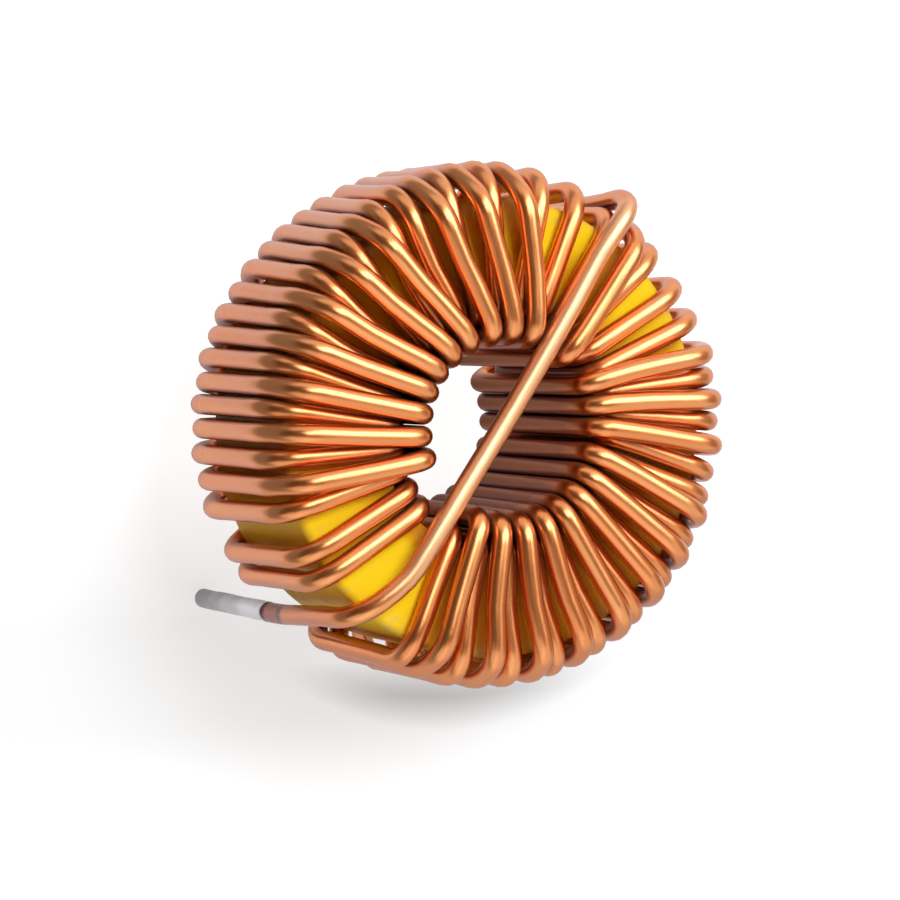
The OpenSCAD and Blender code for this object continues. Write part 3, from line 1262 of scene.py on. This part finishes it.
@dataclass
class TinnedLead:
    """Solder frozen on a stripped lead: slightly lumpy, with a rounded tip."""

    node: str
    centre: Vector
    top_z: float
    tip_z: float
    radius: float = 0.635
    tip_r: float = 0.45
    tip_share: float = 0.9
    lump_height: float = 0.045
    lump_level: float = 0.7
    lump_scale: float = 1.1
    lump_pull: float = 0.3
    clean_top: float = 0.5
    sides: int = 40
    rows: int = 70

    def radius_at(self, left: float) -> float:
        """Radius without lumps, at a length short of the tip."""
        round_off = max(0.0, 1 - left / self.tip_r)
        return self.radius - self.tip_r * (1 - math.sqrt(max(0.0, 1 - round_off ** 2))) * self.tip_share

    def build(self, finish: DipSolder) -> bpy.types.Object:
        """Build the lead's solder.

        Args:
            finish: the solder's finish.

        Returns:
            The piece, standing for the CAD node.
        """
        mesh = bmesh.new()
        length = self.top_z - self.tip_z
        rings = []
        for i in range(self.rows + 1):
            down = length * i / self.rows
            r = self.radius_at(length - down)
            ring = []
            for j in range(self.sides):
                a = 2 * math.pi * j / self.sides
                spot = Vector((math.cos(a), math.sin(a), down * self.lump_pull + self.centre.x))
                lump = self.lump_height * (noise.noise(spot * self.lump_scale) - self.lump_level)
                lump *= ease(down / self.clean_top)
                ring.append(mesh.verts.new(Vector((self.centre.x + (r + lump) * math.cos(a),
                                                   self.centre.y + (r + lump) * math.sin(a),
                                                   self.top_z - down)) * MM))
            rings.append(ring)
        skin_rings(mesh, rings, across=True)
        mesh.faces.new(rings[0])
        mesh.faces.new(rings[-1][::-1])
        piece = finish_mesh(self.node + "_coat", mesh, "root", finish.material())
        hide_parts(self.node)
        log.info("solder on %s", self.node)
        return piece


@dataclass(frozen=True)
class Lamp:
    """One soft lamp, aimed at the coil."""

    name: str
    towards: Triple
    distance: float
    size: Pair
    power: float
    lights: Lights

    def place(self, target: Vector) -> None:
        """Hang the lamp.

        Args:
            target: the point that it is aimed at, in metres.
        """
        data = bpy.data.lights.new(self.name, "AREA")
        data.shape = "RECTANGLE"
        data.size, data.size_y = self.size
        data.energy = self.power
        lamp = bpy.data.objects.new(self.name, data)
        way = Vector(self.towards).normalized()
        lamp.location = target + way * self.distance
        lamp.rotation_euler = way.to_track_quat("Z", "Y").to_euler()
        lamp.visible_camera = False
        lamp.visible_diffuse = self.lights is not Lights.GLOSS
        lamp.visible_glossy = self.lights is not Lights.MATTE
        bpy.context.scene.collection.objects.link(lamp)


@dataclass(frozen=True)
class DimZone:
    """A part of the room that is dimmer: its direction, the cosines where it fades, what it keeps."""

    towards: Triple
    outer: float
    inner: float
    keep: float


@dataclass
class Studio:
    """Pale floor, soft lamps, a pale room and the camera."""

    floor_z: float
    ring_z: float
    floor_r: float = 3.0
    floor_sides: int = 96
    yaw: float = 25.434
    pitch: float = 1.9915
    camera_distance: float = 179.23
    camera_shift: Pair = (0.4215, 1.4499)
    lens: float = 120.0
    sensor: float = 36.0
    clip: Pair = (0.001, 20.0)
    room: float = 0.86
    dusk: Colour = (1.0, 0.55, 0.30, 1.0)
    dim_zones: tuple[DimZone, ...] = (
        DimZone((0.0, 0.0, 1.0), 0.82, 0.97, 0.22),
        DimZone((-0.98, 0.17, 0.09), 0.77, 0.88, 0.12),
        DimZone((-0.62, 0.17, 0.77), 0.77, 0.88, 0.14),
        DimZone((0.96, 0.08, 0.26), 0.80, 0.93, 0.42),
    )
    lamps: tuple[Lamp, ...] = (
        Lamp("key", (0.42, 0.43, 0.79), 0.42, (0.30, 0.25), 0.95, Lights.GLOSS),
        Lamp("top", (-0.10, 0.34, 0.93), 0.42, (0.22, 0.19), 0.56, Lights.GLOSS),
        Lamp("fill", (-0.18, -0.847, 0.50), 0.50, (0.30, 0.50), 0.12, Lights.GLOSS),
        Lamp("soft", (-0.03, 0.35, 0.94), 0.50, (0.20, 0.20), 1.75, Lights.MATTE),
    )

    def build_floor(self) -> None:
        """A wide disc under the lead tips."""
        mesh = bmesh.new()
        bmesh.ops.create_circle(mesh, cap_ends=True, segments=self.floor_sides, radius=self.floor_r,
                                matrix=Matrix.Translation((0, 0, self.floor_z * MM)))
        data = bpy.data.meshes.new("floor")
        mesh.to_mesh(data)
        mesh.free()
        floor = bpy.data.objects.new("floor", data)
        data.materials.append(PaleFloor().material())
        bpy.context.scene.collection.objects.link(floor)

    def build_room(self) -> None:
        """A pale room, dimmer overhead and at three places round the coil, and warm where it is dim."""
        world = bpy.data.worlds.new("room")
        bpy.context.scene.world = world
        air = Nodes(world, "ShaderNodeOutputWorld", "ShaderNodeBackground")
        way = air.add("ShaderNodeTexCoord").outputs["Generated"]
        level = self.room
        for zone in self.dim_zones:
            facing = air.measure("DOT_PRODUCT", way, Vector(zone.towards).normalized())
            dim = air.span(facing, zone.outer, zone.inner, self.room, self.room * zone.keep, smooth=True)
            level = air.math("MINIMUM", dim, level)
        air.link(air.mix(level, self.dusk, WHITE), air.surface.inputs["Color"])
        air.link(level, air.surface.inputs["Strength"])

    def build_camera(self) -> None:
        """Place the scene's camera."""
        pitch = Matrix.Rotation(math.radians(self.pitch), 3, "X")
        yaw = Matrix.Rotation(math.radians(self.yaw), 3, "Y")
        back = (pitch @ yaw).transposed()
        shift = Vector((*self.camera_shift, -self.camera_distance))
        data = bpy.data.cameras.new("view")
        data.sensor_width = self.sensor
        data.lens = self.lens
        data.clip_start, data.clip_end = self.clip
        camera = bpy.data.objects.new("view", data)
        spot = (Vector((0, 0, self.ring_z)) - back @ shift) * MM
        camera.matrix_world = Matrix.Translation(spot) @ back.to_4x4()
        bpy.context.scene.collection.objects.link(camera)
        bpy.context.scene.camera = camera

    def build(self) -> None:
        """Build the whole stage."""
        self.build_floor()
        self.build_room()
        target = Vector((0, 0, self.ring_z * MM))
        for lamp in self.lamps:
            lamp.place(target)
        self.build_camera()
        bpy.context.scene.view_settings.view_transform = "Standard"
        log.info("stage: floor at %.2f mm, %d lamps", self.floor_z, len(self.lamps))


def lead_of(node: str) -> TinnedLead:
    """The solder on a lead, sized and placed by its CAD node."""
    low, high = (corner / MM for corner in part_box(node))
    return TinnedLead(node, (low + high) / 2, high.z, low.z)


def main() -> None:
    """Build the coil and its stage."""
    logging.basicConfig(level=logging.INFO)
    route = CoilRoute()
    line = route.stations()
    wires = WireField(line.points)
    Winding(route, line, wires).build()
    RingCore(wires, route.core_od, route.core_id, route.core_h, route.seat_z).build()
    solder = DipSolder()
    for node in ("start_lead_solder", "finish_lead_solder"):
        lead_of(node).build(solder)
    Studio(floor_z=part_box("finish_lead_solder")[0].z / MM, ring_z=route.seat_z).build()


if __name__ == "__main__":
    main()
